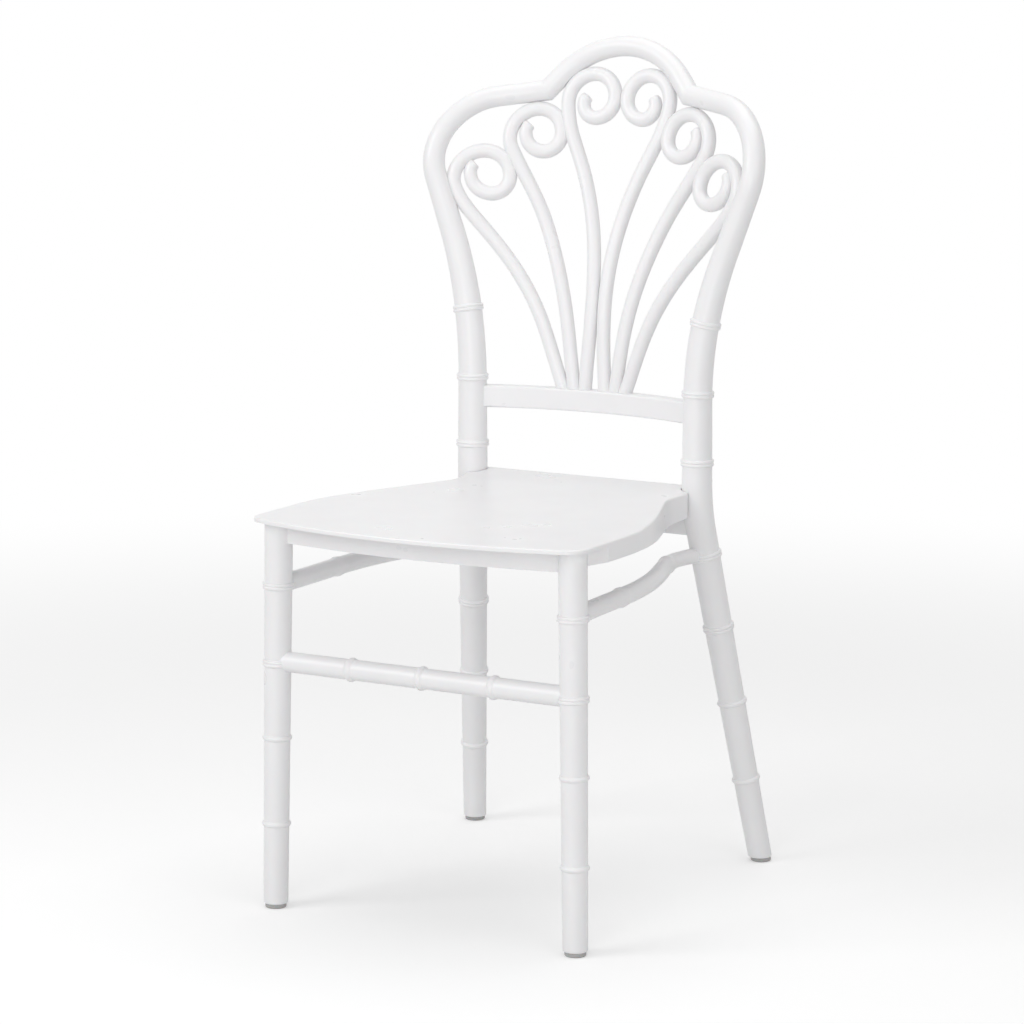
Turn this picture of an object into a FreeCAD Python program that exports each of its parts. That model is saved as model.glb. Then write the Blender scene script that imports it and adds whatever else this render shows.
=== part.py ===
import FreeCAD, Part
import math
import os

# Chiavari chair with a fan back, moulded in white plastic. All lengths are in millimetres.
# X runs across the chair and x = 0 is its mirror plane. Y runs from front to back, with y = 0 at
# the front feet. Z is the height above the floor. "left" is the sitter's left, on the +X side.

V = FreeCAD.Vector

# Seat
seat_height = 450.0
seat_thickness = 5.0
seat_half_width = 211.0
seat_front_y = -54.0
seat_behind_post = 15.2
seat_bow_radius = 668.0
seat_corner_radius = 26.0
seat_side_run = 89.0
seat_shoulder_radius = 180.0
seat_shoulder_turn = 14.0
seat_flank_radius = 715.0
seat_flank_turn = 8.3
seat_waist_radius = 68.5
seat_waist_inset = 6.5
seat_waist_flare = 9.0
seat_upturn = 5.0
seat_upturn_length = 64.0
seat_edge_rounding = 2.0
skirt_thickness = 5.0
skirt_front_inset = 10.0
skirt_behind_leg = 2.0
skirt_flare_length = 33.0
skirt_before_post = 18.7
skirt_level_length = 109.0
skirt_waist_before_end = 55.0
skirt_depth_front = 21.7
skirt_depth_waist = 33.0
skirt_depth_back = 27.2

# Front legs; the drops of the rings are measured down from the seat's underside
front_leg_inset = 24.5
front_splay = 0.0155
front_rake = 0.0095
front_foot_radius = 14.0
front_top_radius = 16.0
front_double_ring_drops = (74.1, 162.1)
front_single_ring_drops = (247.9, 347.3)

# Rear legs and posts; the leg bends just under the seat, and post_ring_rises start at its top
post_x = 149.4
bend_below_seat = 17.0
bend_reach = 30.0
rear_foot_x = 195.9
rear_foot_y = 451.8
rear_foot_radius = 13.9
post_radius = 17.6
rear_double_ring_drops = (68.6, 156.1)
rear_single_ring_drops = (247.2, 342.3)
post_ring_rises = (35.2, 114.5, 195.8)

# Surface that the back lies in: curved round the sitter in plan, upright low down, then reclined
back_y = 397.2
back_plan_radius = 400.0
recline_angle = 13.7
recline_radius = 705.0
recline_rise = 186.3

# Outline of the back frame on that surface
post_upright_rise = 110.0
post_sweep_radius = 486.0
post_sweep_angle = 20.7
side_run = 69.7
shoulder_radius = 70.3
shoulder_rise = 7.7
shoulder_run = 55.4
arch_radius = 105.0
arch_half_angle = 48.8
side_radius = 13.2
shoulder_tube_radius = 12.3
arch_tube_radius = 12.0
post_taper_below_ring = 1.5

# Bamboo rings on the legs and posts
ring_proud = 2.1
double_bead_radius = 2.4
double_bead_spacing = 3.6
single_bead_radius = 3.4

# Rails and stretchers
apron_height = 24.5
apron_thickness = 16.0
apron_set_back = 5.3
apron_bow = 20.5
seat_rail_height = 44.7
seat_rail_thickness = 16.0
seat_rail_forward = 0.5
back_rail_rise = 79.0
back_rail_height = 25.9
back_rail_thickness = 18.0
back_rail_rounding = 2.5
front_stretcher_above_ring = 1.9
front_stretcher_radius = 11.7
front_stretcher_rings = (-91.0, 0.0, 91.0)
stretcher_bead_radius = 5.5
stretcher_bead_proud = 2.0
side_stretcher_above_front_ring = 0.9
side_stretcher_above_rear_ring = 0.4
side_stretcher_radius = 10.3
side_stretcher_end_radius = 8.8
side_stretcher_rings = (0.30, 0.79)
side_ring_proud = 1.2
side_ring_reach = 0.025
side_stretcher_narrowing = 1 / 6
# share of the way from front leg to rear leg, and how far the stretcher stands outside that line
side_stretcher_sweep = (
    (0.10, 0.6),
    (0.27, 4.7),
    (0.45, 6.3),
    (0.62, -1.6),
    (0.75, -12.8),
    (0.86, -18.2),
    (0.945, -10.0),
)

# Scrolls of the fan. A curl is placed by its inset from the mirror plane, the mitre or the side
# of the hoop, and by its drop below the crest or the mitre. The points of a stem are shares of
# the way from its foot to the middle of its curl, across and upwards.
inner_foot_x = 13.1
inner_curl_x = 36.0
inner_curl_drop = 64.0
inner_entry = 7.1
inner_stem = ((-0.192, 0.225), (0.144, 0.5505), (1.332, 0.794))
inner_curl_radii = (31.1, 27.8, 22.9, 16.3, 10.1)
middle_foot_x = 27.2
middle_curl_past_mitre = 5.8
middle_curl_drop = 52.9
middle_entry = 31.8
middle_stem = ((0.172, 0.281), (0.482, 0.542), (0.9135, 0.7625), (1.14, 0.85))
middle_curl_radii = (31.4, 29.5, 19.8, 23.3, 10.0)
outer_foot_x = 41.3
outer_curl_inset = 52.0
outer_curl_drop = 100.7
outer_entry = 23.9
outer_stem = ((0.2835, 0.351), (0.562, 0.562), (0.874, 0.732), (1.102, 0.851))
outer_curl_radii = (29.8, 31.9, 17.8, 26.8, 10.0)
curl_last_turn = 40.0
scroll_foot_radius = 8.0
scroll_stem_radius = 8.4
scroll_curl_radius = 8.5
scroll_tip_radius = 7.5
scroll_tip_rounding = 3.0

# Joints, feet and fixings
tenon_radius = 5.0
tenon_depth = 12.0
scroll_tenon_radius = 3.5
scroll_tenon_depth = 12.0
fit_clearance = 0.15
bore_end_clearance = 1.0
seat_post_clearance = 1.0
foot_rounding = 2.0
glide_radius = 12.0
glide_height = 5.0
glide_rounding = 1.5
glide_stem_radius = 4.0
glide_stem_length = 18.0
dowel_radius = 4.0
dowel_length = 30.0
screw_radius = 2.0
screw_head_radius = 4.0
screw_head_height = 3.0
screw_grip = 6.0
screw_bite = 9.0
boss_radius = 5.0
boss_length = 12.0
counterbore_radius = 4.6
apron_screw_positions = (-110.0, 0.0, 110.0)
seat_rail_screw_positions = (-80.0, 80.0)

# How finely the skins of the tubes follow their lines, and what their making needs
post_sections = 36
bend_sections = 5
arch_sections = 31
stem_sections = 13
curl_sections = 31
side_stretcher_sections = 81
tip_angles = (30.0, 60.0, 90.0)
trim = 24.0
overshoot = 1.0
tangent_step = 0.5
hair = 0.01
SPACE = 3000.0

# Heights that follow from the sizes above
seat_underside = seat_height - seat_thickness
leg_bottom = glide_height
bend_height = seat_height - bend_below_seat
recline_height = seat_height + recline_rise
back_rail_bottom = seat_height + back_rail_rise
back_rail_top = back_rail_bottom + back_rail_height
front_double_rings = [seat_underside - drop for drop in front_double_ring_drops]
front_single_rings = [seat_underside - drop for drop in front_single_ring_drops]
rear_double_rings = [seat_underside - drop for drop in rear_double_ring_drops]
rear_single_rings = [seat_underside - drop for drop in rear_single_ring_drops]
post_rings = [seat_height + rise for rise in post_ring_rises]
front_stretcher_height = front_double_rings[1] + front_stretcher_above_ring
side_stretcher_front_height = front_double_rings[0] + side_stretcher_above_front_ring
side_stretcher_back_height = rear_double_rings[0] + side_stretcher_above_rear_ring


def recline(height):
    """How far the back has leaned backwards at a height."""
    angle = math.radians(recline_angle)
    start = recline_height - recline_radius * math.tan(angle / 2)
    end = start + recline_radius * math.sin(angle)
    if height <= start:
        return 0.0
    if height <= end:
        return recline_radius - math.sqrt(recline_radius ** 2 - (height - start) ** 2)
    return recline_radius * (1 - math.cos(angle)) + (height - end) * math.tan(angle)


def on_back(x, height):
    """The point of the back surface at a place across the chair and a height."""
    hollow = back_plan_radius - math.sqrt(back_plan_radius ** 2 - x ** 2)
    return V(x, back_y + recline(height) - hollow, height)


# Places that follow from where the posts and the front legs stand
post_y = on_back(post_x, bend_height).y
seat_back_y = post_y + seat_behind_post
skirt_back_y = post_y - skirt_before_post
front_foot_x = seat_half_width - front_leg_inset + front_splay * seat_underside
skirt_front_x = seat_half_width - skirt_front_inset
skirt_front_y = front_rake * seat_underside + skirt_behind_leg
skirt_flush_y = skirt_front_y + skirt_flare_length
crest_turn = math.radians(arch_half_angle)


class Track:
    """A flat line of straight runs and tangent arcs, drawn on from a point and a heading."""

    def __init__(self, u, v, heading):
        self.u, self.v = u, v
        self.heading = math.radians(heading)
        self.steps = []
        self.length = 0.0

    def run(self, length):
        return self._add(length, 0.0)

    def turn(self, radius, degrees):
        angle = math.radians(degrees)
        return self._add(radius * abs(angle), angle)

    def _add(self, length, angle):
        self.steps.append((self.length, length, self.u, self.v, self.heading, angle))
        self.u, self.v, self.heading = self._move(self.steps[-1], length)
        self.length += length
        return self

    @staticmethod
    def _move(step, distance):
        _, length, u, v, heading, angle = step
        if angle == 0.0:
            return u + distance * math.cos(heading), v + distance * math.sin(heading), heading
        radius = length / angle
        after = heading + distance / radius
        return (
            u + radius * (math.sin(after) - math.sin(heading)),
            v - radius * (math.cos(after) - math.cos(heading)),
            after,
        )

    def at(self, distance):
        """The flat point at a distance along the line; past the last end it goes straight on."""
        step = self.steps[-1]
        for candidate in self.steps:
            if distance <= candidate[0] + candidate[1]:
                step = candidate
                break
        inside = min(max(distance - step[0], 0.0), step[1])
        u, v, heading = self._move(step, inside)
        spare = distance - step[0] - inside
        return u + spare * math.cos(heading), v + spare * math.sin(heading)

    def edges(self):
        """The same line as lines and arcs at height 0, for a flat outline."""
        made = []
        for step in self.steps:
            ends = [V(*self._move(step, share * step[1])[:2], 0) for share in (0.0, 0.5, 1.0)]
            if step[5] == 0.0:
                made.append(Part.LineSegment(ends[0], ends[2]).toShape())
            else:
                made.append(Part.Arc(*ends).toShape())
        return made


def spread(start, stop, count):
    """Evenly spaced values from start to stop."""
    return [start + (stop - start) * i / (count - 1) for i in range(count)]


def unit(vector):
    return V(vector).normalize()


def disc(centre, along, radius):
    return Part.Face(Part.Wire(Part.Circle(centre, along, radius).toShape()))


def tube(stations, across):
    """A round rod through (centre, direction, radius) stations.

    The poles of the circles at the stations are joined lengthwise by smooth curves, which
    gives the poles of the skin. The circles all start on one side, so the skin doesn't twist.
    """
    circle = Part.Circle(V(0, 0, 0), V(0, 0, 1), 1).toBSpline()
    rings = []
    for centre, along, radius in stations:
        side = unit(along.cross(across))
        front = unit(along).cross(side)
        rings.append([centre + side * (pole.x * radius) + front * (pole.y * radius)
                      for pole in circle.getPoles()])
    distances = [0.0]
    for (centre, _, _), (following, _, _) in zip(stations, stations[1:]):
        distances.append(distances[-1] + (following - centre).Length)
    lines = []
    for poles in zip(*rings):
        line = Part.BSplineCurve()
        line.interpolate(Points=list(poles), Parameters=distances)
        lines.append(line)
    skin = Part.BSplineSurface()
    skin.buildFromPolesMultsKnots(
        [line.getPoles() for line in lines],
        circle.getMultiplicities(), lines[0].getMultiplicities(),
        circle.getKnots(), lines[0].getKnots(),
        False, False, circle.Degree, lines[0].Degree,
        [[weight] * lines[0].NbPoles for weight in circle.getWeights()])
    shell = Part.makeShell([skin.toShape(), disc(*stations[0]), disc(*stations[-1])])
    shell.sewShape()
    solid = Part.makeSolid(shell)
    return solid if solid.Volume > 0 else solid.reversed()


def rod(start, stop, radius):
    return Part.makeCylinder(radius, (stop - start).Length, start, stop - start)


def cone(start, stop, start_radius, stop_radius):
    return Part.makeCone(start_radius, stop_radius, (stop - start).Length, start, stop - start)


def block(low, high):
    return Part.makeBox(high.x - low.x, high.y - low.y, high.z - low.z, low)


def slab(bottom, top):
    """All the space between two heights."""
    return block(V(-SPACE, -SPACE, bottom), V(SPACE, SPACE, top))


def half_space(point, outward):
    """All the space on the outward side of a plane."""
    size = SPACE / 2
    box = Part.makeBox(size, size, size, V(-size / 2, -size / 2, 0))
    box.Placement = FreeCAD.Placement(point, FreeCAD.Rotation(V(0, 0, 1), outward))
    return box


def mirrored(shape):
    return shape.mirror(V(0, 0, 0), V(1, 0, 0))


def bead(centre, along, tube_radius, bead_radius, proud):
    return Part.makeTorus(tube_radius + proud - bead_radius, bead_radius, centre, along)


def bamboo_ring(centre, along, tube_radius, double):
    """A moulded bamboo ring: two beads with a groove between them, or one fuller bead."""
    if not double:
        return [bead(centre, along, tube_radius, single_bead_radius, ring_proud)]
    step = unit(along) * (double_bead_spacing / 2)
    return [bead(place, along, tube_radius, double_bead_radius, ring_proud)
            for place in (centre + step, centre - step)]


def joined(shapes):
    whole = shapes[0]
    for shape in shapes[1:]:
        whole = whole.fuse(shape)
    return whole


def socketed(rail, leg, joint, inward, leg_radius, radius=tenon_radius, depth=tenon_depth):
    """A rail whose end is saddled on a leg, with a round tenon in a bore of the leg.

    joint is the point on the leg's middle line, and inward points from it into the rail.
    """
    inward = unit(inward)
    face = joint + inward * leg_radius
    tenon = rod(face + inward * depth, face - inward * depth, radius)
    bore = rod(face + inward * depth, face - inward * (depth + bore_end_clearance),
               radius + fit_clearance)
    return joined([rail.cut(leg), tenon]), leg.cut(bore)


# Middle lines
def front_leg_point(height):
    return V(front_foot_x - front_splay * height, front_rake * height, height)


def front_leg_radius(height):
    return front_foot_radius + (front_top_radius - front_foot_radius) * height / seat_underside


def rear_leg_point(height):
    share = height / bend_height
    return V(rear_foot_x + (post_x - rear_foot_x) * share,
             rear_foot_y + (post_y - rear_foot_y) * share, height)


def rear_leg_radius(height):
    return rear_foot_radius + (post_radius - rear_foot_radius) * height / bend_height


front_leg_line = unit(front_leg_point(seat_underside) - front_leg_point(0))
rear_leg_line = unit(rear_leg_point(bend_height) - rear_leg_point(0))
seat_rail_y = rear_leg_point(seat_underside - seat_rail_height / 2).y - seat_rail_forward


def frame_track():
    """One side of the back frame, from above the bend to the mitre with the crest arch."""
    start = bend_height + bend_reach
    track = Track(post_x, start, 90)
    track.run(seat_height + post_upright_rise - start)
    track.turn(post_sweep_radius, -post_sweep_angle)
    track.run(side_run)
    track.turn(shoulder_radius, 90 + post_sweep_angle - shoulder_rise)
    return track.run(shoulder_run)


frame = frame_track()
mitre_x, mitre_height = frame.u, frame.v
side_x = max(frame.at(distance)[0] for distance in spread(0.0, frame.length, post_sections))


def arch_track():
    """The crest arch from its mitre on the left side to the one on the right."""
    end_run = (mitre_x - arch_radius * math.sin(crest_turn)) / math.cos(crest_turn)
    track = Track(mitre_x, mitre_height, 180 - arch_half_angle)
    return track.run(end_run).turn(arch_radius, 2 * arch_half_angle).run(end_run)


arch = arch_track()


def back_station(track, distance, radius):
    """Centre, direction and radius of a tube that follows a track on the back surface."""
    before = on_back(*track.at(distance - tangent_step))
    after = on_back(*track.at(distance + tangent_step))
    return on_back(*track.at(distance)), unit(after - before), radius


def mitre_plane():
    """A point of the left mitre and the direction square to it, towards the arch."""
    shoulder = back_station(frame, frame.length - tangent_step, shoulder_tube_radius)[1]
    rise = back_station(arch, tangent_step, shoulder_tube_radius)[1]
    return on_back(*arch.at(0)), unit(shoulder + rise)


mitre_point, mitre_normal = mitre_plane()


# Rear post: leg, upright, side and shoulder in one moulding
def frame_radius(distance):
    """The post narrows from the ring above the rail to the hoop's side and shoulder."""
    top_ring = post_rings[-1] - bend_height - bend_reach
    side_end = frame.steps[3][0]
    shoulder_end = frame.steps[4][0]
    corners = ((0.0, post_radius), (top_ring, post_radius - post_taper_below_ring),
               (side_end, side_radius), (shoulder_end, shoulder_tube_radius),
               (SPACE, shoulder_tube_radius))
    for (low, low_radius), (high, high_radius) in zip(corners, corners[1:]):
        if distance <= high:
            share = max(distance - low, 0.0) / (high - low)
            return low_radius + (high_radius - low_radius) * share
    return shoulder_tube_radius


def bend_stations():
    """The soft bend between the raked leg and the upright post."""
    corner = V(post_x, post_y, bend_height)
    low = corner - rear_leg_line * bend_reach
    high = corner + V(0, 0, bend_reach)
    found = []
    for share in spread(0.0, 1.0, bend_sections):
        centre = low * (1 - share) ** 2 + corner * (2 * share * (1 - share)) + high * share ** 2
        along = (corner - low) * (1 - share) + (high - corner) * share
        radius = rear_leg_radius(min(centre.z, bend_height))
        found.append((centre, along, radius))
    return found


def rear_post_blank():
    bend = bend_stations()
    leg = cone(rear_leg_point(-trim), bend[0][0], rear_leg_radius(-trim), bend[0][2])
    stations = list(bend)
    for distance in spread(post_radius, frame.length + trim, post_sections):
        stations.append(back_station(frame, distance, frame_radius(distance)))
    blank = joined([leg, tube(stations, V(0, 1, 0))])
    blank = blank.cut(slab(-SPACE, leg_bottom)).cut(half_space(mitre_point, mitre_normal))
    sole = [edge for edge in blank.Edges if edge.BoundBox.ZMax < leg_bottom + hair]
    return blank.makeFillet(foot_rounding, sole)


def rear_post_rings():
    rings = []
    for height in rear_double_rings + rear_single_rings:
        rings += bamboo_ring(rear_leg_point(height), rear_leg_line, rear_leg_radius(height),
                             height in rear_double_rings)
    for height in post_rings:
        distance = height - bend_height - bend_reach
        centre, along, radius = back_station(frame, distance, frame_radius(distance))
        rings += bamboo_ring(centre, along, radius, True)
    return rings


# Crest arch, mitred on the two shoulders
def crest_arch():
    stations = []
    for distance in spread(-trim, arch.length + trim, arch_sections):
        centrality = math.sin(math.pi * min(max(distance / arch.length, 0.0), 1.0))
        radius = shoulder_tube_radius + (arch_tube_radius - shoulder_tube_radius) * centrality
        stations.append(back_station(arch, distance, radius))
    solid = tube(stations, V(0, 1, 0))
    solid = solid.cut(half_space(mitre_point, -mitre_normal))
    far_point = V(-mitre_point.x, mitre_point.y, mitre_point.z)
    far_normal = V(mitre_normal.x, -mitre_normal.y, -mitre_normal.z)
    return solid.cut(half_space(far_point, far_normal))


def dowel(grow=0.0):
    reach = mitre_normal * (dowel_length / 2 + grow)
    return rod(mitre_point - reach, mitre_point + reach, dowel_radius)


# Front legs
def front_leg_blank():
    leg = cone(front_leg_point(-trim), front_leg_point(seat_height),
               front_leg_radius(-trim), front_leg_radius(seat_height))
    leg = leg.common(slab(leg_bottom, seat_underside))
    sole = [edge for edge in leg.Edges if edge.BoundBox.ZMax < leg_bottom + hair]
    leg = leg.makeFillet(foot_rounding, sole)
    rings = []
    for height in front_double_rings + front_single_rings:
        rings += bamboo_ring(front_leg_point(height), front_leg_line, front_leg_radius(height),
                             height in front_double_rings)
    return joined([leg] + rings)


def glide(foot, grow=0.0):
    """A round glide under a leg, with a stem pressed up into the leg."""
    centre = V(foot.x, foot.y, 0)
    pad = Part.makeCylinder(glide_radius, glide_height, centre)
    sole = [edge for edge in pad.Edges if edge.BoundBox.ZMax < hair]
    pad = pad.makeFillet(glide_rounding, sole)
    stem_top = V(foot.x, foot.y, glide_height + glide_stem_length + grow)
    return joined([pad, rod(V(foot.x, foot.y, glide_height / 2), stem_top, glide_stem_radius)])


# Side stretcher, swept in plan like the seat's edge
def side_stretcher_curve():
    start = front_leg_point(side_stretcher_front_height)
    stop = rear_leg_point(side_stretcher_back_height)
    outward = unit(V(stop.y - start.y, start.x - stop.x, 0))
    points = [start]
    points += [start + (stop - start) * share + outward * out
               for share, out in side_stretcher_sweep]
    points.append(stop)
    curve = Part.BSplineCurve()
    curve.interpolate(points)
    return curve


def side_stretcher_blank():
    """The stretcher, swollen at its two bamboo rings, and its directions at both ends."""
    curve = side_stretcher_curve()
    shape = curve.toShape()
    stations = []
    for share in spread(0.0, 1.0, side_stretcher_sections):
        parameter = shape.getParameterByLength(shape.Length * share)
        past = (share - side_stretcher_rings[1]) / side_stretcher_narrowing + 0.5
        past = min(max(past, 0.0), 1.0)
        radius = side_stretcher_radius
        radius += (side_stretcher_end_radius - side_stretcher_radius) * past
        for ring in side_stretcher_rings:
            away = min(abs(share - ring) / side_ring_reach, 1.0)
            radius += side_ring_proud * math.cos(math.pi / 2 * away) ** 2
        stations.append((curve.value(parameter), V(*curve.tangent(parameter)[0]), radius))
    return tube(stations, V(0, 0, 1)), (stations[0][1], stations[-1][1])


# Front stretcher between the front legs
def front_stretcher_blank():
    reach = front_leg_point(front_stretcher_height)
    far = V(-reach.x, reach.y, reach.z)
    beads = [bead(V(x, reach.y, reach.z), V(1, 0, 0), front_stretcher_radius,
                  stretcher_bead_radius, stretcher_bead_proud)
             for x in front_stretcher_rings]
    return joined([rod(far, reach, front_stretcher_radius)] + beads)


# Curved bars of rectangular section
def bowed_bar(half_length, middle_y, end_y, thickness, bottom, height):
    """A bar whose middle line is an arc in plan, from end to end through its middle."""
    rise = end_y - middle_y
    faces = []
    if rise == 0.0:
        return block(V(-half_length, middle_y - thickness / 2, bottom),
                     V(half_length, middle_y + thickness / 2, bottom + height))
    radius = (half_length ** 2 + rise ** 2) / (2 * abs(rise))
    side = 1 if rise > 0 else -1
    centre_y = middle_y + side * radius
    half_angle = math.asin(half_length / radius)
    for r in (radius - thickness / 2, radius + thickness / 2):
        faces.append([V(r * math.sin(a), centre_y - side * r * math.cos(a), bottom)
                      for a in (-half_angle, 0.0, half_angle)])
    near, far = faces
    outline = Part.Wire([
        Part.Arc(*near).toShape(),
        Part.LineSegment(near[2], far[2]).toShape(),
        Part.Arc(*far).toShape(),
        Part.LineSegment(near[0], far[0]).toShape(),
    ])
    return Part.Face(outline).extrude(V(0, 0, height))


def long_edges(solid, least):
    return [edge for edge in solid.Edges if edge.Length > least]


def front_apron_blank():
    end = front_leg_point(seat_underside - apron_height / 2)
    end_y = end.y + apron_set_back
    return bowed_bar(end.x, end_y - apron_bow, end_y, apron_thickness,
                     seat_underside - apron_height, apron_height)


def rear_seat_rail_blank():
    bottom = seat_underside - seat_rail_height
    reach = rear_leg_point(bottom).x
    return bowed_bar(reach, seat_rail_y, seat_rail_y, seat_rail_thickness,
                     bottom, seat_rail_height)


def back_rail_blank():
    bar = bowed_bar(post_x, back_y, post_y, back_rail_thickness,
                    back_rail_bottom, back_rail_height)
    return bar.makeFillet(back_rail_rounding, long_edges(bar, post_x))


# Scrolls of the fan
crest_height = arch.at(arch.length / 2)[1]
scroll_inner = {"foot": inner_foot_x, "entry": inner_entry, "stem": inner_stem,
                 "radii": inner_curl_radii,
                "curl": (inner_curl_x, crest_height - inner_curl_drop)}
scroll_middle = {"foot": middle_foot_x, "entry": middle_entry, "stem": middle_stem,
                  "radii": middle_curl_radii,
                 "curl": (mitre_x + middle_curl_past_mitre, mitre_height - middle_curl_drop)}
scroll_outer = {"foot": outer_foot_x, "entry": outer_entry, "stem": outer_stem,
                 "radii": outer_curl_radii,
                "curl": (side_x - outer_curl_inset, mitre_height - outer_curl_drop)}


def scroll_line(scroll):
    """Points of the flat scroll line: a curved stem, then a curl of ever smaller arcs."""
    curl_x, curl_height = scroll["curl"]
    rise = curl_height - back_rail_top
    entry = math.radians(scroll["entry"])
    radii = scroll["radii"]
    meet = V(curl_x + radii[0] * math.cos(entry),
             curl_height - radii[0] * math.sin(entry), 0)
    foot = V(scroll["foot"], back_rail_top, 0)
    points = [foot]
    points += [foot + V((curl_x - foot.x) * across, rise * up, 0) for across, up in scroll["stem"]]
    points.append(meet)
    stem = Part.BSplineCurve()
    first = points[1] - points[0]
    stem.interpolate(points, InitialTangent=first,
                     FinalTangent=V(math.sin(entry), math.cos(entry), 0) * first.Length)
    curl = Track(meet.x, meet.y, 90 - scroll["entry"])
    curl.turn(radii[0], 90 + scroll["entry"])
    for radius in radii[1:-1]:
        curl.turn(radius, 90)
    curl.turn(radii[-1], curl_last_turn)
    return stem, curl


def flat_to_back(flat):
    return on_back(flat.x, flat.y)


def scroll_blank(scroll):
    stem, curl = scroll_line(scroll)
    shape = stem.toShape()
    stations = []
    for share in spread(0.0, 1.0, stem_sections)[:-1]:
        parameter = shape.getParameterByLength(shape.Length * share)
        flat = stem.value(parameter)
        ahead = V(*stem.tangent(parameter)[0]) * tangent_step
        along = flat_to_back(flat + ahead) - flat_to_back(flat - ahead)
        radius = scroll_foot_radius + (scroll_stem_radius - scroll_foot_radius) * share
        stations.append((flat_to_back(flat), along, radius))
    below = stations[0][0] - unit(stations[0][1]) * scroll_foot_radius
    stations.insert(0, (below, stations[0][1], scroll_foot_radius))
    taper_start = curl.steps[3][0]
    for share in spread(0.0, 1.0, curl_sections):
        distance = curl.length * share
        swell = min(distance / curl.steps[1][0], 1.0)
        radius = scroll_stem_radius + (scroll_curl_radius - scroll_stem_radius) * swell
        fade = max(distance - taper_start, 0.0) / (curl.length - taper_start)
        radius += (scroll_tip_radius - scroll_curl_radius) * fade ** 2
        stations.append(back_station(curl, distance, radius))
    tip, along, radius = stations[-1]
    for angle in tip_angles:
        rounding = math.radians(angle)
        stations.append((tip + along * (scroll_tip_rounding * math.sin(rounding)), along,
                         radius - scroll_tip_rounding * (1 - math.cos(rounding))))
    solid = tube(stations, V(0, 1, 0))
    return solid.cut(slab(-SPACE, back_rail_top))


def scroll_tenon(scroll, radius, depth):
    foot = on_back(scroll["foot"], back_rail_top)
    return rod(foot - V(0, 0, depth), foot + V(0, 0, scroll_foot_radius), radius)


# Seat shell
def seat_outline(inset=0.0):
    """The seat seen from above: bowed front, round corners, sides drawn in to a waist.

    Each flank is as long as it takes to come in to its waist, and from there the side opens
    again as far as the rear edge.
    """
    bow = math.degrees(math.asin((seat_half_width - seat_corner_radius)
                                 / (seat_bow_radius - seat_corner_radius)))
    slant = seat_shoulder_turn + seat_flank_turn
    flank = Track(0, 0, 90)
    flank.turn(seat_shoulder_radius, seat_shoulder_turn).turn(seat_flank_radius, seat_flank_turn)
    waist = Track(0, 0, 90 + slant).turn(seat_waist_radius, -slant)
    draw_in = seat_half_width - (post_x - seat_waist_inset) + flank.u + waist.u
    track = Track(0, seat_front_y, 0)
    track.turn(seat_bow_radius, bow).turn(seat_corner_radius, 90 - bow).run(seat_side_run)
    track.turn(seat_shoulder_radius, seat_shoulder_turn)
    track.turn(seat_flank_radius, seat_flank_turn)
    track.run(draw_in / math.sin(math.radians(slant)))
    track.turn(seat_waist_radius, -slant - seat_waist_flare)
    track.run((seat_back_y - track.v) / math.cos(math.radians(seat_waist_flare)))
    edges = track.edges()
    edges += [mirrored(edge) for edge in track.edges()]
    corner = V(track.u, track.v, 0)
    edges.append(Part.LineSegment(corner, V(-corner.x, corner.y, 0)).toShape())
    wire = Part.Wire(Part.__sortEdges__(edges))
    if inset:
        wire = wire.makeOffset2D(-inset)
    return Part.Face(wire)


def seat_side_profile():
    """The seat cut front to back: a flat top that turns up a little at the rear edge."""
    front = seat_front_y - seat_thickness
    start = seat_back_y - seat_upturn_length
    half = seat_upturn_length / 2
    radius = (half ** 2 + (seat_upturn / 2) ** 2) / seat_upturn
    angle = math.degrees(math.asin(half / radius))
    track = Track(front, seat_height, 0)
    track.run(start - front).turn(radius, angle).turn(radius, -angle).run(seat_thickness)
    edges = track.edges()
    top_end = V(track.u, track.v, 0)
    bottom_end = V(track.u, seat_underside, 0)
    bottom_start = V(front, seat_underside, 0)
    corners = [top_end, bottom_end, bottom_start, V(front, seat_height, 0)]
    edges += [Part.LineSegment(a, b).toShape() for a, b in zip(corners, corners[1:])]
    face = Part.Face(Part.Wire(Part.__sortEdges__(edges)))
    face.Placement = FreeCAD.Placement(V(-SPACE / 2, 0, 0),
                                       FreeCAD.Rotation(V(0, 1, 0), V(0, 0, 1), V(1, 0, 0), "ZXY"))
    return face.extrude(V(SPACE, 0, 0))


def skirts():
    """The two side walls, deepest at the waist.

    They start at the front legs and are soon flush with the seat.
    """
    height = seat_height
    wall = seat_outline().extrude(V(0, 0, height))
    wall = wall.cut(seat_outline(skirt_thickness).extrude(V(0, 0, height)))
    wall = wall.cut(block(V(-SPACE, -SPACE, -SPACE), V(SPACE, skirt_flush_y, SPACE)))
    flare = [V(skirt_front_x, skirt_front_y, 0), V(seat_half_width, skirt_flush_y, 0),
             V(seat_half_width - skirt_thickness, skirt_flush_y, 0),
             V(skirt_front_x - skirt_thickness, skirt_front_y, 0)]
    flare = Part.Face(Part.makePolygon(flare + flare[:1])).extrude(V(0, 0, height))
    wall = joined([wall, flare])
    wall.translate(V(0, 0, seat_underside - height))
    places = ((skirt_front_y, skirt_depth_front),
              (skirt_front_y + skirt_level_length, skirt_depth_front),
              (skirt_back_y - skirt_waist_before_end, skirt_depth_waist),
              (skirt_back_y, skirt_depth_back),
              (skirt_back_y, seat_thickness),
              (skirt_front_y, seat_thickness))
    corners = [V(0, place, seat_height - depth) for place, depth in places]
    face = Part.Face(Part.makePolygon(corners + corners[:1]))
    wall = wall.common(face.extrude(V(SPACE, 0, 0)))
    return [wall, mirrored(wall)]


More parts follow.
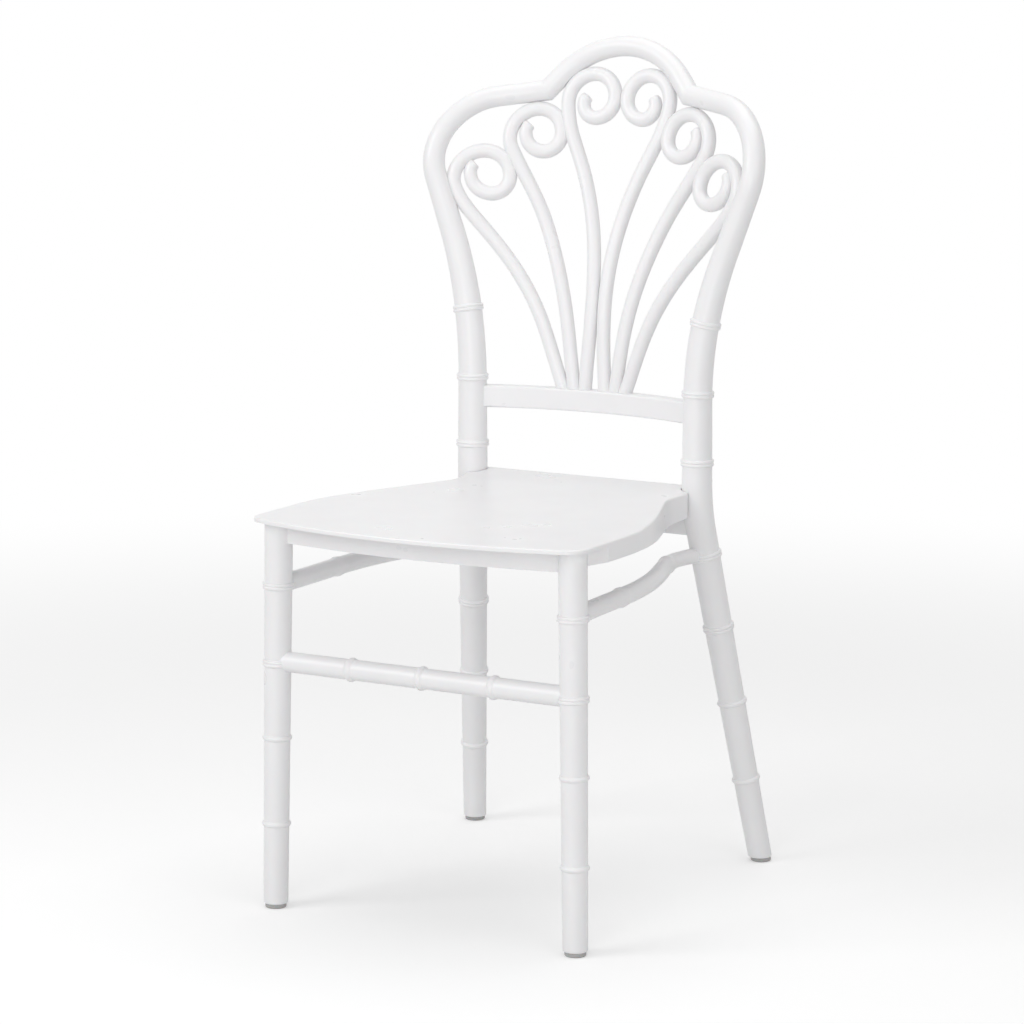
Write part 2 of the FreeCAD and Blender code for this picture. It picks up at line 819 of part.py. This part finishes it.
def seat_shell_blank():
    plate = seat_side_profile().common(seat_outline().extrude(V(0, 0, SPACE)))
    rim = []
    for edge in plate.Edges:
        box = edge.BoundBox
        crosswise = box.YLength < hair and box.YMax < seat_back_y - seat_thickness
        if box.ZMin > seat_height - hair and not crosswise:
            rim.append(edge)
    plate = plate.makeFillet(seat_edge_rounding, rim)
    shell = joined([plate] + skirts()).removeSplitter()
    notch = Part.makeCylinder(post_radius + seat_post_clearance, SPACE, V(post_x, post_y, 0))
    return shell.cut(notch).cut(mirrored(notch))


# Screws that hold the seat from below
def screw_places():
    """Points of the seat's underside, over the middle of the apron and of the seat rail."""
    end = front_leg_point(seat_underside - apron_height / 2)
    middle = end.y + apron_set_back - apron_bow
    places = [V(x, middle + apron_bow * (x / end.x) ** 2, seat_underside)
              for x in apron_screw_positions]
    return places + [V(x, seat_rail_y, seat_underside) for x in seat_rail_screw_positions]


def under(place, depth):
    return place - V(0, 0, depth)


pocket_depth = boss_length + bore_end_clearance
web_depth = pocket_depth + screw_grip
screw_tip_depth = boss_length - screw_bite


def screw(place):
    """A screw whose head bears on the web under the boss, and which bites into the boss."""
    head = rod(under(place, web_depth), under(place, web_depth + screw_head_height),
               screw_head_radius)
    shank = rod(under(place, web_depth + screw_head_height / 2), under(place, screw_tip_depth),
                screw_radius)
    return joined([head, shank])


def screw_bores(place):
    """What a rail loses to a boss and its screw: pocket, shank hole and counterbore."""
    pocket = rod(place, under(place, pocket_depth), boss_radius + fit_clearance)
    hole = rod(place, under(place, web_depth + overshoot), screw_radius + fit_clearance)
    counterbore = rod(under(place, web_depth), under(place, seat_rail_height + overshoot),
                      counterbore_radius)
    return joined([pocket, hole, counterbore])


def seat_boss(place):
    return rod(under(place, -seat_thickness / 2), under(place, boss_length), boss_radius)


def pilot_bore(place):
    return rod(under(place, boss_length + overshoot), under(place, screw_tip_depth),
               screw_radius)


def two_ended(rail, leg, joint, inward, leg_radius):
    """A rail from leg to leg; both of its ends are saddled and tenoned alike."""
    rail, bored = socketed(rail, leg, joint, inward, leg_radius)
    far_rail, _ = socketed(mirrored(rail), leg, joint, inward, leg_radius)
    return far_rail, bored


# Assembly: the left half is made piece by piece, and the right half is its mirror image
def assemble():
    nodes = {}
    front_leg = front_leg_blank()
    rear_post = joined([rear_post_blank()] + rear_post_rings())

    # Front apron and front stretcher, from leg to leg
    apron = front_apron_blank()
    apron_joint = front_leg_point(seat_underside - apron_height / 2)
    apron_joint.y += apron_set_back
    apron, front_leg = two_ended(apron, front_leg, apron_joint, V(-1, 0, 0), front_top_radius)
    stretcher_joint = front_leg_point(front_stretcher_height)
    front_stretcher, front_leg = two_ended(
        front_stretcher_blank(), front_leg, stretcher_joint, V(-1, 0, 0),
        front_leg_radius(front_stretcher_height) + ring_proud)

    # Seat rail and back rail, from post to post
    rail_joint = rear_leg_point(seat_underside - seat_rail_height / 2)
    rail_joint.y = seat_rail_y
    rail_face = rear_leg_radius(bend_height)
    seat_rail, rear_post = two_ended(
        rear_seat_rail_blank(), rear_post, rail_joint, V(-1, 0, 0), rail_face)
    rail_turn = math.asin(post_x / back_plan_radius)
    back_joint = V(post_x, post_y, back_rail_bottom + back_rail_height / 2)
    back_rail, rear_post = two_ended(
        back_rail_blank(), rear_post, back_joint,
        V(-math.cos(rail_turn), math.sin(rail_turn), 0), post_radius)

    # Side stretcher, from front leg to rear leg
    side_stretcher, (go_in, go_out) = side_stretcher_blank()
    side_stretcher, front_leg = socketed(
        side_stretcher, front_leg, front_leg_point(side_stretcher_front_height), go_in,
        front_leg_radius(side_stretcher_front_height))
    side_stretcher, rear_post = socketed(
        side_stretcher, rear_post, rear_leg_point(side_stretcher_back_height), -go_out,
        rear_leg_radius(side_stretcher_back_height))

    # Crest arch, doweled to the shoulders
    crest = crest_arch()
    far_dowel = mirrored(dowel(bore_end_clearance))
    rear_post = rear_post.cut(dowel(bore_end_clearance))
    crest = crest.cut(dowel(bore_end_clearance)).cut(far_dowel)
    nodes["crest_arch"] = crest
    nodes["crest_dowels"] = Part.makeCompound([dowel(), mirrored(dowel())])

    # Scrolls: each one rests against its neighbours, and its foot is let into the back rail
    left_side = half_space(V(0, 0, 0), V(-1, 0, 0))
    inner = scroll_blank(scroll_inner).cut(left_side).cut(crest)
    middle = scroll_blank(scroll_middle).cut(inner).cut(rear_post).cut(crest)
    outer = scroll_blank(scroll_outer).cut(middle).cut(rear_post)
    for name, scroll, shape in (("scroll_inner", scroll_inner, inner),
                                ("scroll_middle", scroll_middle, middle),
                                ("scroll_outer", scroll_outer, outer)):
        tenon = scroll_tenon(scroll, scroll_tenon_radius, scroll_tenon_depth)
        bore = scroll_tenon(scroll, scroll_tenon_radius + fit_clearance,
                            scroll_tenon_depth + bore_end_clearance)
        back_rail = back_rail.cut(bore).cut(mirrored(bore))
        nodes[name + "_left"] = joined([shape, tenon])
    nodes["back_rail"] = back_rail

    # Feet
    for name, foot in (("front", front_leg_point(0)), ("rear", rear_leg_point(0))):
        nodes["glide_" + name + "_left"] = glide(foot)
    front_leg = front_leg.cut(glide(front_leg_point(0), bore_end_clearance))
    rear_post = rear_post.cut(glide(rear_leg_point(0), bore_end_clearance))

    # Seat, screwed to the apron and the seat rail from below
    leg_top = front_leg_blank()
    seat = seat_shell_blank().cut(leg_top).cut(mirrored(leg_top))
    screws = []
    for place in screw_places():
        rail_bores = screw_bores(place)
        if place.y < seat_rail_y:
            apron = apron.cut(rail_bores)
        else:
            seat_rail = seat_rail.cut(rail_bores)
        seat = joined([seat, seat_boss(place)]).cut(pilot_bore(place))
        screws.append(screw(place))
    nodes["seat_shell"] = seat
    nodes["seat_screws"] = Part.makeCompound(screws)
    nodes["front_apron"] = apron
    nodes["rear_seat_rail"] = seat_rail
    nodes["front_stretcher"] = front_stretcher
    nodes["side_stretcher_left"] = side_stretcher
    nodes["front_leg_left"] = front_leg
    nodes["rear_post_left"] = rear_post
    for name in [name for name in nodes if name.endswith("_left")]:
        nodes[name[:-len("left")] + "right"] = mirrored(nodes[name])
    return nodes


def save(nodes):
    """One STEP file for each node, with the origin under the middle of the whole chair."""
    crest = on_back(*arch.at(arch.length / 2))
    middle = (seat_front_y + crest.y + arch_tube_radius) / 2
    os.makedirs("parts", exist_ok=True)
    for name in sorted(nodes):
        shape = nodes[name].copy()
        shape.translate(V(0, -middle, 0))
        shape.exportStep("parts/" + name + ".step")


save(assemble())
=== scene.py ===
# %% [markdown]
# # A chiavari chair in white moulded resin
#
# The chair's frame was built in CAD: legs with bamboo rings, a hooped back and six curled rods.
# This lesson loads that frame, looks at it with the photograph's camera, and gives each surface
# the finish that a moulding shop gives it. A few small parts, such as the foot glides, are
# modelled again here in finer detail.

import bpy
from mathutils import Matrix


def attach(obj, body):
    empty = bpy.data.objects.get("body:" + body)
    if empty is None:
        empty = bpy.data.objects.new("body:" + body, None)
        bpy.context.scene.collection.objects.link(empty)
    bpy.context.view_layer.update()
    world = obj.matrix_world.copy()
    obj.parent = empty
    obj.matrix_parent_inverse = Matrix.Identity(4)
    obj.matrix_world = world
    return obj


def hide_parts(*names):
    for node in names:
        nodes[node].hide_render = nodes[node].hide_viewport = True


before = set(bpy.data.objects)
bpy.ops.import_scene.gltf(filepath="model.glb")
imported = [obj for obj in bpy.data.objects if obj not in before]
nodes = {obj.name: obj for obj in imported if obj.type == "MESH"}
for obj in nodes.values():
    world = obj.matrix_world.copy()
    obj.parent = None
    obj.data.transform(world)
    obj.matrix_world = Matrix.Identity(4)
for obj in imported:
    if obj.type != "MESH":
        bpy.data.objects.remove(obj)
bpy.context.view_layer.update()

# %% The rest of the tools
import math

import bmesh
import bpy
from mathutils import Matrix, Vector

MM = 0.001
scene = bpy.context.scene
scene.view_settings.view_transform = "Standard"

# %% [markdown]
# ## The camera
#
# The photograph was taken from the sitter's left and a little above the seat, with a long lens.
# Its place was worked out from the chair's own mirror symmetry: a ring on a left leg and the same
# ring on the right leg have to be at one height and at one distance from the middle. A long lens
# keeps the legs nearly parallel, so the focal length matters as much as the angle.

# %% Place the camera
PHOTO_AZIMUTH, PHOTO_ELEVATION = 29.714, 9.999
CAMERA_PLACE = Vector((2.0930, -3.6829, 1.1843))  # metres
SENSOR_WIDTH, PHOTO_LENS = 36.0, 133.05  # millimetres

camera_data = bpy.data.cameras.new("photo_camera")
camera_data.sensor_fit = "HORIZONTAL"
camera_data.sensor_width = SENSOR_WIDTH
camera_data.lens = PHOTO_LENS
camera = bpy.data.objects.new("photo_camera", camera_data)
camera.location = CAMERA_PLACE
camera.rotation_euler = (math.radians(90 - PHOTO_ELEVATION), 0, math.radians(PHOTO_AZIMUTH))
scene.collection.objects.link(camera)
scene.camera = camera
print("camera at", [round(v, 3) for v in camera.location], "lens", PHOTO_LENS)

# %% [markdown]
# ## Colours and nodes
#
# Colours are written as they look on a screen, as sRGB hex values. Blender's shaders want linear
# light, so one function turns them. Another adds a node with its settings and its links, which
# keeps each material down to a few readable lines.

# %% Two helpers for materials
def linear(hex_colour):
    """An sRGB hex value such as "F2F2F3" as a linear colour with full alpha."""
    channels = [int(hex_colour[i:i + 2], 16) / 255 for i in (0, 2, 4)]
    curve = [c / 12.92 if c <= 0.04045 else ((c + 0.055) / 1.055) ** 2.4 for c in channels]
    return (*curve, 1.0)


def add_node(tree, kind, links=(), **settings):
    """Adds a node, sets its inputs and properties by name, and links (input, output) pairs."""
    node = tree.nodes.new(kind)
    for name, value in settings.items():
        socket = name.replace("_", " ")
        found = [s for s in node.inputs if s.name.lower() == socket.lower()]
        if found:
            found[0].default_value = value
        else:
            setattr(node, name, value)
    for target, source in links:
        tree.links.new(node.inputs[target], source)
    return node


def new_material(name):
    """An empty node material and its tree."""
    material = bpy.data.materials.new(name)
    material.use_nodes = True
    material.node_tree.nodes.clear()
    return material, material.node_tree


print("a mid grey, 808080, reads as", [round(v, 3) for v in linear("808080")])

# %% [markdown]
# ## The studio
#
# The chair stands on a seamless white sweep. Near the chair the sweep reflects most of its light,
# so it holds the soft shadow, and a faint glow that only the camera and mirrors see lifts it to
# white. Some two and a half metres away it has turned into an evenly lit backdrop, which a product
# photographer gets with separate lights, and which also sends light back onto the chair's sides.

# %% The sweep's material
WHITE = "FFFFFF"
SWEEP_WHITE = "E6E6E6"
SHADOW_REACH, BACKDROP_START = 0.9, 2.6  # metres from the chair's middle
SWEEP_GLOW = 0.30
BACKDROP_LIGHT = 0.55  # what the far sweep sends back onto the chair


def seen_ray(tree):
    """A value that is 1 for rays from the camera, from mirrors and through glass."""
    path = add_node(tree, "ShaderNodeLightPath")
    seen = add_node(tree, "ShaderNodeMath", operation="ADD", use_clamp=True,
                    links=[(0, path.outputs["Is Camera Ray"]), (1, path.outputs["Is Glossy Ray"])])
    seen = add_node(tree, "ShaderNodeMath", operation="ADD", use_clamp=True,
                    links=[(0, seen.outputs[0]), (1, path.outputs["Is Transmission Ray"])])
    return seen.outputs[0]


def sweep_material():
    """A matte white sweep near the chair that turns into an evenly lit backdrop."""
    material, tree = new_material("matte_white_sweep")
    matte = add_node(tree, "ShaderNodeBsdfDiffuse", Color=linear(SWEEP_WHITE))
    glow_strength = add_node(tree, "ShaderNodeMath", operation="MULTIPLY",
                             links=[(0, seen_ray(tree))])
    glow_strength.inputs[1].default_value = SWEEP_GLOW
    glow = add_node(tree, "ShaderNodeEmission", links=[("Strength", glow_strength.outputs[0])])
    near = add_node(tree, "ShaderNodeAddShader",
                    links=[(0, matte.outputs[0]), (1, glow.outputs[0])])
    far_strength = add_node(tree, "ShaderNodeMapRange", To_Min=BACKDROP_LIGHT, To_Max=1.0,
                            links=[("Value", seen_ray(tree))])
    far = add_node(tree, "ShaderNodeEmission", links=[("Strength", far_strength.outputs[0])])
    place = add_node(tree, "ShaderNodeTexCoord")
    away = add_node(tree, "ShaderNodeVectorMath", operation="LENGTH",
                    links=[(0, place.outputs["Object"])])
    share = add_node(tree, "ShaderNodeMapRange", interpolation_type="SMOOTHSTEP",
                     From_Min=SHADOW_REACH, From_Max=BACKDROP_START,
                     links=[("Value", away.outputs["Value"])])
    both = add_node(tree, "ShaderNodeMixShader",
                    links=[(0, share.outputs[0]), (1, near.outputs[0]), (2, far.outputs[0])])
    add_node(tree, "ShaderNodeOutputMaterial", links=[("Surface", both.outputs[0])])
    return material


sweep = sweep_material()
print("made", sweep.name)

# %% Floor and world
FLOOR_HALF_WIDTH = 30.0  # metres
AMBIENT_LIGHT = 0.38

floor_shape = bmesh.new()
bmesh.ops.create_grid(floor_shape, x_segments=1, y_segments=1, size=FLOOR_HALF_WIDTH)
floor_mesh = bpy.data.meshes.new("studio_floor")
floor_shape.to_mesh(floor_mesh)
floor_shape.free()
floor = bpy.data.objects.new("studio_floor", floor_mesh)
floor.data.materials.append(sweep)
scene.collection.objects.link(floor)

world = bpy.data.worlds.new("studio_world")
world.use_nodes = True
world.node_tree.nodes.clear()
tree = world.node_tree
ambient = add_node(tree, "ShaderNodeBackground", Color=linear(WHITE), Strength=AMBIENT_LIGHT)
backdrop = add_node(tree, "ShaderNodeBackground", Color=linear(WHITE), Strength=1.0)
mix = add_node(tree, "ShaderNodeMixShader",
               links=[(0, seen_ray(tree)), (1, ambient.outputs[0]), (2, backdrop.outputs[0])])
add_node(tree, "ShaderNodeOutputWorld", links=[("Surface", mix.outputs[0])])
scene.world = world
print("floor size in metres:", round(floor.dimensions.x, 1))

# %% [markdown]
# ## The light
#
# The photograph's shading is soft: the tubes are brightest on their upper left and fall off by a
# sixth on their right. Four large panels do that. The key panel hangs high on the left, a weaker
# one fills the right, one stands low beside the camera for the apron and the legs, and one above
# the chair lights the seat and draws the faint floor shadow.

# %% Four soft panels
def panel(name, place, target, size, power):
    """A square area light at a place, turned towards a target. Lengths in metres."""
    data = bpy.data.lights.new(name, "AREA")
    data.shape = "SQUARE"
    data.size = size
    data.energy = power
    light = bpy.data.objects.new(name, data)
    light.location = place
    light.rotation_euler = (Vector(target) - Vector(place)).to_track_quat("-Z", "Y").to_euler()
    scene.collection.objects.link(light)


CHAIR_MIDDLE = (0.0, 0.0, 0.48)
# name, place and side in metres, power in watts
PANELS = (
    ("key_panel", (-1.9, -2.6, 2.3), 1.8, 37),
    ("fill_panel", (2.8, -1.4, 1.4), 2.2, 15),
    ("top_panel", (0.1, 0.3, 3.0), 2.4, 27),
    ("front_panel", (0.9, -3.4, 1.1), 1.6, 26),
)
for name, place, size, power in PANELS:
    panel(name, place, CHAIR_MIDDLE, size, power)
print("hung", len(PANELS), "panels")

# %% [markdown]
# ## Moulded white resin
#
# Chairs like this are injection-moulded in polypropylene with a white pigment. The steel mould is
# polished, so the surface is a satin gloss, with a very slight orange peel, a few millimetres from
# crest to crest, where the resin shrank as it cooled. Light goes a little way into the resin,
# which softens thin edges. A broad, faint change of roughness comes from handling.

# %% The resin
PEEL_SCALE = 250.0  # crests of the orange peel 4 mm apart
HANDLING_SCALE = 17.0  # handling marks about 60 mm across


def moulded_polypropylene():
    material, tree = new_material("moulded_white_polypropylene")
    place = add_node(tree, "ShaderNodeTexCoord")
    peel = add_node(tree, "ShaderNodeTexNoise", Scale=PEEL_SCALE, Detail=2.0, Roughness=0.45,
                    links=[("Vector", place.outputs["Object"])])
    bump = add_node(tree, "ShaderNodeBump", Strength=0.06, Distance=0.0004,
                    links=[("Height", peel.outputs["Fac"])])
    handling = add_node(tree, "ShaderNodeTexNoise", Scale=HANDLING_SCALE, Detail=3.0, Roughness=0.55,
                        links=[("Vector", place.outputs["Object"])])
    roughness = add_node(tree, "ShaderNodeMapRange", From_Min=0.3, From_Max=0.7,
                         To_Min=0.27, To_Max=0.35, links=[("Value", handling.outputs["Fac"])])
    tint = add_node(tree, "ShaderNodeMix", data_type="RGBA",
                    links=[(0, handling.outputs["Fac"])])
    tint.inputs[6].default_value = linear("F1F1F2")
    tint.inputs[7].default_value = linear("EEEDEE")
    surface = add_node(tree, "ShaderNodeBsdfPrincipled", Metallic=0.0, IOR=1.49,
                       Subsurface_Weight=0.06, Subsurface_Scale=0.003,
                       links=[("Base Color", tint.outputs[2]),
                              ("Roughness", roughness.outputs[0]),
                              ("Normal", bump.outputs[0])])
    add_node(tree, "ShaderNodeOutputMaterial", links=[("Surface", surface.outputs[0])])
    return material


resin = moulded_polypropylene()
print("made", resin.name)

# %% [markdown]
# ## Give the CAD nodes their finish
#
# The mouldings keep their CAD shapes. Each one's material slots are filled with the resin.

# %% Assign the resin
def finish_node(name, material):
    """Fills a CAD node's material slots with one material."""
    node = nodes[name]
    node.data.materials.clear()
    node.data.materials.append(material)


HARDWARE = {"crest_dowels", "seat_screws"}
moulded = [name for name in nodes if name not in HARDWARE and not name.startswith("glide")]
for name in moulded:
    finish_node(name, resin)
print(len(moulded), "mouldings in resin")

# %% [markdown]
# ## Zinc-plated steel
#
# The screws and the hidden dowels are bright zinc-plated steel. The plating is a blue-white metal
# with fine random spangle, and it is a little rough.

# %% The steel
SPANGLE_SCALE = 900.0  # grains of the plating about 1 mm across


def zinc_plated_steel():
    material, tree = new_material("zinc_plated_steel")
    place = add_node(tree, "ShaderNodeTexCoord")
    spangle = add_node(tree, "ShaderNodeTexNoise", Scale=SPANGLE_SCALE, Detail=2.0,
                       links=[("Vector", place.outputs["Object"])])
    roughness = add_node(tree, "ShaderNodeMapRange", To_Min=0.25, To_Max=0.45,
                         links=[("Value", spangle.outputs["Fac"])])
    surface = add_node(tree, "ShaderNodeBsdfPrincipled", Metallic=1.0,
                       Base_Color=linear("C9CDD2"), links=[("Roughness", roughness.outputs[0])])
    add_node(tree, "ShaderNodeOutputMaterial", links=[("Surface", surface.outputs[0])])
    return material


zinc = zinc_plated_steel()
for name in HARDWARE:
    finish_node(name, zinc)
print("made", zinc.name)

# %% [markdown]
# ## Grey glide plastic
#
# Each leg stands on a grey polyethylene glide, pressed in from below. It is softer and more
# see-through than the resin, and scuffed by floors.

# %% The glide plastic
SCUFF_SCALE = 420.0  # scuffs about 2.4 mm across


def scuffed_polyethylene():
    material, tree = new_material("scuffed_grey_polyethylene")
    place = add_node(tree, "ShaderNodeTexCoord")
    scuffs = add_node(tree, "ShaderNodeTexNoise", Scale=SCUFF_SCALE, Detail=4.0, Roughness=0.6,
                      links=[("Vector", place.outputs["Object"])])
    tint = add_node(tree, "ShaderNodeMix", data_type="RGBA", links=[(0, scuffs.outputs["Fac"])])
    tint.inputs[6].default_value = linear("A2A1A0")
    tint.inputs[7].default_value = linear("B8B7B6")
    bump = add_node(tree, "ShaderNodeBump", Strength=0.2, Distance=0.0002,
                    links=[("Height", scuffs.outputs["Fac"])])
    surface = add_node(tree, "ShaderNodeBsdfPrincipled", Metallic=0.0, IOR=1.51,
                       Roughness=0.5, Subsurface_Weight=0.3, Subsurface_Scale=0.004,
                       links=[("Base Color", tint.outputs[2]), ("Normal", bump.outputs[0])])
    add_node(tree, "ShaderNodeOutputMaterial", links=[("Surface", surface.outputs[0])])
    return material


glide_plastic = scuffed_polyethylene()
print("made", glide_plastic.name)

# %% [markdown]
# ## Turn the glides
#
# A glide is a turned shape, so half its outline is spun round its stem. It could also be stacked
# from cylinders and bevelled, but a spun outline gives every rim its own rounding at once. Its sole
# has a shallow recess, which leaves a ring to slide on, and both rims of the pad are rounded.

# %% Spin a profile
TURNING_STEPS = 64
QUARTER_STEPS = 6
MERGE_DISTANCE = 0.001 * MM
SHARPEST_SMOOTH_ANGLE = 35  # degrees between two faces that are still shaded as one


def node_box(name):
    """The low and high corners of a CAD node, in metres."""
    node = nodes[name]
    places = [node.matrix_world @ vertex.co for vertex in node.data.vertices]
    return [Vector([pick(place[axis] for place in places) for axis in range(3)])
            for pick in (min, max)]


def quarter(centre_radius, centre_height, rounding, start):
    """Profile points of a quarter circle, from a start angle in degrees."""
    angles = [math.radians(start + 90 / QUARTER_STEPS * step) for step in range(QUARTER_STEPS + 1)]
    return [(centre_radius + rounding * math.cos(angle), centre_height + rounding * math.sin(angle))
            for angle in angles]


def turned(profile, centre):
    """A turned bmesh: (radius, height) points in metres, spun round an upright line."""
    shape = bmesh.new()
    points = [shape.verts.new((centre.x + radius, centre.y, height)) for radius, height in profile]
    edges = [shape.edges.new(pair) for pair in zip(points, points[1:])]
    bmesh.ops.spin(shape, geom=points + edges, cent=(centre.x, centre.y, 0.0), axis=(0, 0, 1),
                   dvec=(0, 0, 0), angle=math.tau, space=Matrix.Identity(4),
                   steps=TURNING_STEPS, use_merge=True, use_normal_flip=False,
                   use_duplicate=False)
    bmesh.ops.remove_doubles(shape, verts=shape.verts, dist=MERGE_DISTANCE)
    return shape


def add_piece(name, shape, material, replaced):
    """Makes an object of a bmesh, shades it smooth and puts it in place of a CAD node."""
    bmesh.ops.recalc_face_normals(shape, faces=shape.faces)
    mesh = bpy.data.meshes.new(name)
    shape.to_mesh(mesh)
    shape.free()
    mesh.polygons.foreach_set("use_smooth", [True] * len(mesh.polygons))
    mesh.set_sharp_from_angle(angle=math.radians(SHARPEST_SMOOTH_ANGLE))
    mesh.materials.append(material)
    piece = bpy.data.objects.new(name, mesh)
    scene.collection.objects.link(piece)
    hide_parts(replaced)
    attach(piece, "root")


# %% The four glides
SOLE_RECESS = 0.6 * MM
RECESS_RADIUS = 5.0 * MM
PAD_HEIGHT = 5.0 * MM
SOLE_ROUNDING, TOP_ROUNDING = 1.5 * MM, 0.8 * MM
STEM_RADIUS, STEM_CHAMFER = 4.0 * MM, 0.8 * MM

glide_names = [name for name in nodes if name.startswith("glide")]
for name in glide_names:
    low, high = node_box(name)
    pad_radius = (high.x - low.x) / 2
    profile = [(0.0, SOLE_RECESS), (RECESS_RADIUS, SOLE_RECESS),
               (RECESS_RADIUS + SOLE_RECESS, 0.0)]
    profile += quarter(pad_radius - SOLE_ROUNDING, SOLE_ROUNDING, SOLE_ROUNDING, -90)
    profile += quarter(pad_radius - TOP_ROUNDING, PAD_HEIGHT - TOP_ROUNDING, TOP_ROUNDING, 0)
    profile += [(STEM_RADIUS, PAD_HEIGHT), (STEM_RADIUS, high.z - STEM_CHAMFER),
                (STEM_RADIUS - STEM_CHAMFER, high.z), (0.0, high.z)]
    glide = turned(profile, (low + high) / 2)
    add_piece("turned_" + name, glide, glide_plastic, name)
print("turned", len(glide_names), "glides")

# %% [markdown]
# ## Seat screws
#
# Five pan-head screws hold the seat from below. Each has a cross recess, which is let into the
# flat of its head: the cross is drawn inside the rim's circle, the face between them is filled,
# and the cross is drawn up into the head and closed.

# %% A cross recess and where the screws are
HEAD_RADIUS, HEAD_HEIGHT, HEAD_ROUNDING = 4.0 * MM, 3.0 * MM, 1.2 * MM
SHANK_RADIUS, POINT_LENGTH = 2.0 * MM, 2.5 * MM
CROSS_REACH, CROSS_HALF_WIDTH, CROSS_DEPTH = 2.2 * MM, 0.45 * MM, 1.6 * MM
CROSS_NARROWING = 0.6  # size of the cross at its floor, as a share of its mouth


def loose_boxes(name):
    """The boxes of a CAD node's separate solids, sorted from right to left."""
    shape = bmesh.new()
    shape.from_mesh(nodes[name].data)
    bmesh.ops.remove_doubles(shape, verts=shape.verts, dist=MERGE_DISTANCE)
    waiting = set(shape.verts)
    boxes = []
    while waiting:
        found, still_to_follow = set(), [waiting.pop()]
        while still_to_follow:
            vertex = still_to_follow.pop()
            found.add(vertex)
            linked = {edge.other_vert(vertex) for edge in vertex.link_edges} & waiting
            waiting -= linked
            still_to_follow += linked
        places = [nodes[name].matrix_world @ vertex.co for vertex in found]
        boxes.append([Vector([pick(place[axis] for place in places) for axis in range(3)])
                      for pick in (min, max)])
    shape.free()
    return sorted(boxes, key=lambda box: box[0].x)


def cut_cross(shape, centre, height):
    """Closes a screw head's open flat at a height, with a cross recess in it."""
    rim = [edge for edge in shape.edges if edge.is_boundary]
    arm, half = CROSS_REACH, CROSS_HALF_WIDTH
    outline = []
    for turn in range(4):
        quarter_turn = Matrix.Rotation(turn * math.pi / 2, 2)
        outline += [quarter_turn @ Vector(corner) for corner in ((arm, -half), (arm, half), (half, half))]
    points = [shape.verts.new((centre.x + p.x, centre.y + p.y, height)) for p in outline]
    cross = [shape.edges.new(pair) for pair in zip(points, points[1:] + points[:1])]
    bmesh.ops.triangle_fill(shape, use_beauty=True, use_dissolve=False, edges=rim + cross)
    walls = bmesh.ops.extrude_edge_only(shape, edges=cross)["geom"]
    deep = [item for item in walls if isinstance(item, bmesh.types.BMVert)]
    for vertex in deep:
        vertex.co.z = height + CROSS_DEPTH
        vertex.co.x = centre.x + (vertex.co.x - centre.x) * CROSS_NARROWING
        vertex.co.y = centre.y + (vertex.co.y - centre.y) * CROSS_NARROWING
    floor_edges = [item for item in walls if isinstance(item, bmesh.types.BMEdge)
                   and all(vertex in deep for vertex in item.verts)]
    bmesh.ops.triangle_fill(shape, use_beauty=True, use_dissolve=False, edges=floor_edges)


print("the cross is", round(2 * CROSS_REACH / MM, 1), "mm across")

# %% The screws
screw_set = bmesh.new()
screw_boxes = loose_boxes("seat_screws")
for low, high in screw_boxes:
    centre = (low + high) / 2
    profile = quarter(HEAD_RADIUS - HEAD_ROUNDING, low.z + HEAD_ROUNDING, HEAD_ROUNDING, -90)
    profile += [(HEAD_RADIUS, low.z + HEAD_HEIGHT), (SHANK_RADIUS, low.z + HEAD_HEIGHT),
                (SHANK_RADIUS, high.z - POINT_LENGTH), (0.0, high.z)]
    screw = turned(profile, centre)
    cut_cross(screw, centre, low.z)
    one = bpy.data.meshes.new("one_screw")
    screw.to_mesh(one)
    screw.free()
    screw_set.from_mesh(one)
    bpy.data.meshes.remove(one)
add_piece("cross_head_seat_screws", screw_set, zinc, "seat_screws")
print("made", len(screw_boxes), "screws")
